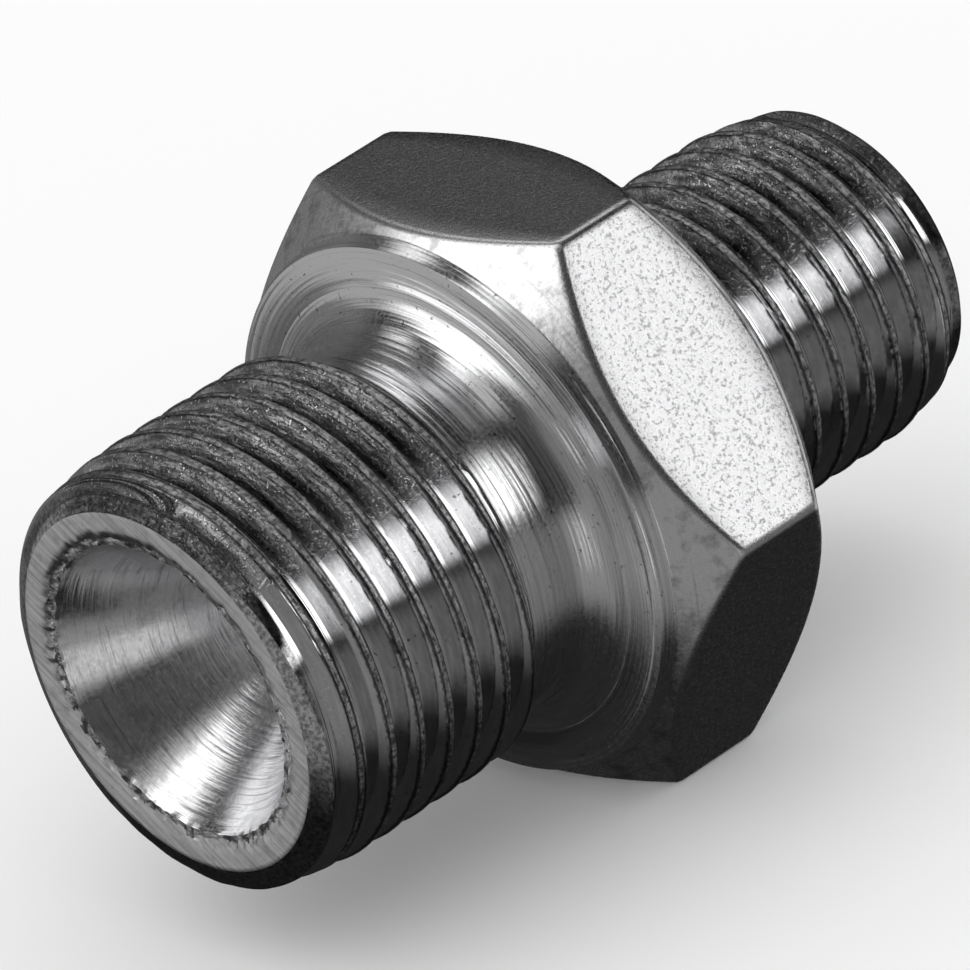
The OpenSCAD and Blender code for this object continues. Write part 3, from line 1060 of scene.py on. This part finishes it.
def add_tent():
    """A dark tent with soft panels round the set, which only the metal's reflections show."""
    mesh = bpy.data.meshes.new("tent")
    bm = bmesh.new()
    bmesh.ops.create_icosphere(bm, subdivisions=4, radius=TENT_RADIUS)
    bm.to_mesh(mesh)
    bm.free()
    material = bpy.data.materials.new("tent")
    material.use_nodes = True
    material.cycles.emission_sampling = "NONE"
    tree = material.node_tree
    tree.nodes.clear()
    seen = add_node(tree, "ShaderNodeTexCoord").outputs["Object"]
    direction = vector_math(tree, "NORMALIZE", seen)
    x, y, z = add_node(tree, "ShaderNodeSeparateXYZ", [direction]).outputs
    azimuth = calculate(tree, "DEGREES", calculate(tree, "ARCTAN2", y, x))
    elevation = calculate(tree, "DEGREES", calculate(tree, "ARCSINE", z))
    glow = TENT_SHADE
    for panel in TENT_PANELS:
        glow = calculate(tree, "MAXIMUM", glow, panel_glow(tree, azimuth, elevation, panel))
    emission = add_node(tree, "ShaderNodeEmission", {"Strength": glow})
    add_node(tree, "ShaderNodeOutputMaterial", [emission.outputs[0]])
    mesh.materials.append(material)
    tent = bpy.data.objects.new("tent", mesh)
    bpy.context.scene.collection.objects.link(tent)
    tent.visible_camera = False
    tent.visible_diffuse = False
    tent.visible_shadow = False
    tent.visible_transmission = False


def add_camera(studio):
    """The camera at the photograph's angle."""
    data = bpy.data.cameras.new("camera")
    data.sensor_width = studio.sensor_width
    data.lens = studio.focal_length
    data.clip_start = 0.01
    data.clip_end = 10
    camera = bpy.data.objects.new("camera", data)
    back = Vector((
        math.sin(studio.azimuth) * math.cos(studio.elevation),
        -math.cos(studio.azimuth) * math.cos(studio.elevation),
        math.sin(studio.elevation),
    ))
    aim = Vector((CAD_BOX[0].x + studio.aim_place, studio.aim_back, axis_height() - studio.aim_drop))
    camera.location = aim + back * studio.distance
    level = back.to_track_quat("Z", "Y")
    camera.rotation_euler = (level @ Euler((0, 0, studio.roll)).to_quaternion()).to_euler()
    bpy.context.scene.collection.objects.link(camera)
    bpy.context.scene.camera = camera


class HOSE_OT_stage(bpy.types.Operator):
    """Build the floor, the light and the camera"""

    bl_idname = "hose_connector.stage"
    bl_label = "Build stage"

    def execute(self, context):
        add_floor()
        add_tent()
        add_camera(context.scene.connector_studio)
        world = bpy.data.worlds.new("white_room")
        world.use_nodes = True
        background = world.node_tree.nodes["Background"]
        background.inputs["Color"].default_value = (1, 1, 1, 1)
        background.inputs["Strength"].default_value = 1
        context.scene.world = world
        context.scene.view_settings.view_transform = "Standard"
        return {"FINISHED"}


class HOSE_PT_panel(bpy.types.Panel):
    """Lists the connector's sizes and its two builders"""

    bl_label = "Hose Connector"
    bl_space_type = "VIEW_3D"
    bl_region_type = "UI"
    bl_category = "Hose Connector"

    def draw(self, context):
        for group in GROUPS:
            box = self.layout.box()
            box.label(text=group.replace("_", " ").capitalize())
            settings = getattr(context.scene, group)
            for name in settings.__annotations__:
                box.prop(settings, name)
        self.layout.operator(HOSE_OT_body.bl_idname)
        self.layout.operator(HOSE_OT_stage.bl_idname)


GROUPS = {
    "connector_sizes": ConnectorSizes,
    "connector_large_end": LargeEndSizes,
    "connector_small_end": SmallEndSizes,
    "connector_finish": ConnectorFinish,
    "connector_studio": StudioSettings,
}
CLASSES = (*GROUPS.values(), HOSE_OT_body, HOSE_OT_stage, HOSE_PT_panel)


def register():
    """Adds the classes and their settings."""
    for cls in CLASSES:
        bpy.utils.register_class(cls)
    for name, group in GROUPS.items():
        setattr(bpy.types.Scene, name, PointerProperty(type=group))


def unregister():
    """Takes the classes and their settings out again."""
    for name in GROUPS:
        delattr(bpy.types.Scene, name)
    for cls in reversed(CLASSES):
        bpy.utils.unregister_class(cls)


def main():
    """Builds the connector and its stage."""
    register()
    bpy.ops.hose_connector.body()
    bpy.ops.hose_connector.stage()


if __name__ == "__main__":
    main()
